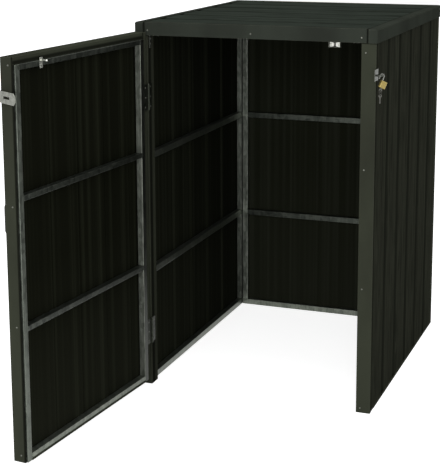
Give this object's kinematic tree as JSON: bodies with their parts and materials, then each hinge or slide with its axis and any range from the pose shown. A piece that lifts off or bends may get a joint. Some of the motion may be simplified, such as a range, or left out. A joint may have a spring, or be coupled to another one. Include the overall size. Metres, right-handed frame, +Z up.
{
  "type": "wheelie bin store",
  "caption": "Upright steel store for a wheeled refuse bin, with plank-profiled walls, a level roof and a side-hinged front door that locks with a hasp and padlock.",
  "frame": {"origin": "middle of the underside of the back wall's bottom rail, on the ground", "axes": "+X to the lock side, +Y to the back, +Z up; the door opens towards -Y"},
  "size_m": [0.8679, 1.6556, 1.15],
  "materials": {
    "sheet": "dark grey-green coated steel sheet, embossed with a faint wood grain, satin",
    "roof_sheet": "dark grey-green coated steel sheet, satin",
    "trim": "dark olive-grey powder coat, satin",
    "galvanised": "hot-dip galvanised tube, dull and faintly mottled",
    "zinc": "bright zinc plate",
    "roller": "white nylon",
    "handle": "black moulded plastic, slightly textured",
    "brass": "brushed brass",
    "shackle": "bright plated steel"
  },
  "bodies": {
    "door": {"door_panel": "sheet", "door_hinge_edge": "trim", "door_free_edge": "trim", "door_top_edge": "trim", "door_bottom_edge": "trim", "door_hinge_stile": "galvanised", "door_free_stile": "galvanised", "door_top_rail": "galvanised", "door_bottom_rail": "galvanised", "door_mid_rails": "galvanised", "door_screws": "zinc", "door_handle": "handle", "hinge_door_leaves": "zinc", "catch_spear": "zinc", "hasp_plate": "zinc", "hasp_pin": "zinc"},
    "hasp_strap": {"hasp_strap": "zinc"},
    "padlock_shackle": {"padlock_shackle": "shackle"},
    "padlock_case": {"padlock_case": "brass"},
    "lock_key": {"padlock_plug": "brass", "padlock_key": "shackle"},
    "key_ring": {"key_ring": "shackle"},
    "spare_key": {"spare_key": "shackle"},
    "catch_right_carrier": {"catch_right_carrier": "zinc"},
    "catch_left_carrier": {"catch_left_carrier": "zinc"},
    "catch_right_roller": {"catch_right_roller": "roller"},
    "catch_left_roller": {"catch_left_roller": "roller"},
    "root": {"back_panel": "sheet", "left_panel": "sheet", "right_panel": "sheet", "roof_panel": "roof_sheet", "back_bottom_rail": "galvanised", "back_top_rail": "galvanised", "back_mid_rails": "galvanised", "back_uprights": "galvanised", "right_bottom_rail": "galvanised", "right_top_rail": "galvanised", "right_mid_rails": "galvanised", "right_rear_upright": "galvanised", "left_bottom_rail": "galvanised", "left_top_rail": "galvanised", "left_mid_rails": "galvanised", "left_rear_upright": "galvanised", "hinge_post": "trim", "lock_post": "trim", "front_fascia": "trim", "right_roof_trim": "trim", "left_roof_trim": "trim", "back_roof_trim": "trim", "rear_corner_trims": "trim", "corner_brackets": "zinc", "frame_screws": "zinc", "hinge_post_leaves": "zinc", "hinge_pins": "zinc", "staple_plate": "zinc", "staple_eye": "zinc", "catch_body": "zinc"}
  },
  "joints": [
    {"name": "door_hinge", "type": "hinge", "parent": "root", "child": "door", "pos_m": [-0.332, -0.8882, 0], "axis": [0, 0, -1], "range_deg": [-95, 4]},
    {"name": "hasp_hinge", "type": "hinge", "parent": "door", "child": "hasp_strap", "pos_m": [-0.43786, -1.58763, 1.02], "axis": [0, 0, -1], "range_deg": [-27, 210]},
    {"name": "padlock_swing", "type": "hinge", "parent": "root", "child": "padlock_shackle", "pos_m": [0.39145, -0.88775, 1.02], "axis": [-0.7071, 0.7071, 0], "range_deg": [-40, 2]},
    {"name": "padlock_case_turn", "type": "hinge", "parent": "padlock_shackle", "child": "padlock_case", "pos_m": [0.39201, -0.88719, 1.00517], "axis": [0.31, 0.31, 0.8988], "range_deg": [-145, 15]},
    {"name": "key_turn", "type": "hinge", "parent": "padlock_case", "child": "lock_key", "pos_m": [0.38978, -0.88941, 0.98446], "axis": [0.31, 0.31, 0.8988], "range_deg": [0, 45]},
    {"name": "key_ring_swing", "type": "hinge", "parent": "lock_key", "child": "key_ring", "pos_m": [0.38712, -0.89208, 0.97582], "axis": [-0.7071, 0.7071, 0], "range_deg": [-20, 20]},
    {"name": "spare_key_swing", "type": "hinge", "parent": "key_ring", "child": "spare_key", "pos_m": [0.38712, -0.89208, 0.96482], "axis": [-0.7071, 0.7071, 0], "range_deg": [-20, 20]},
    {"name": "catch_right_slide", "type": "slide", "parent": "root", "child": "catch_right_carrier", "axis": [1, 0, 0], "range_m": [0, 0.002], "stiffness_N_per_m": 400},
    {"name": "catch_left_slide", "type": "slide", "parent": "root", "child": "catch_left_carrier", "axis": [-1, 0, 0], "range_m": [0, 0.002], "stiffness_N_per_m": 400},
    {"name": "catch_right_roll", "type": "hinge", "parent": "catch_right_carrier", "child": "catch_right_roller", "pos_m": [0.255, -0.8732, 0], "axis": [0, 0, 1], "continuous": true},
    {"name": "catch_left_roll", "type": "hinge", "parent": "catch_left_carrier", "child": "catch_left_roller", "pos_m": [0.241, -0.8732, 0], "axis": [0, 0, 1], "continuous": true}
  ]
}
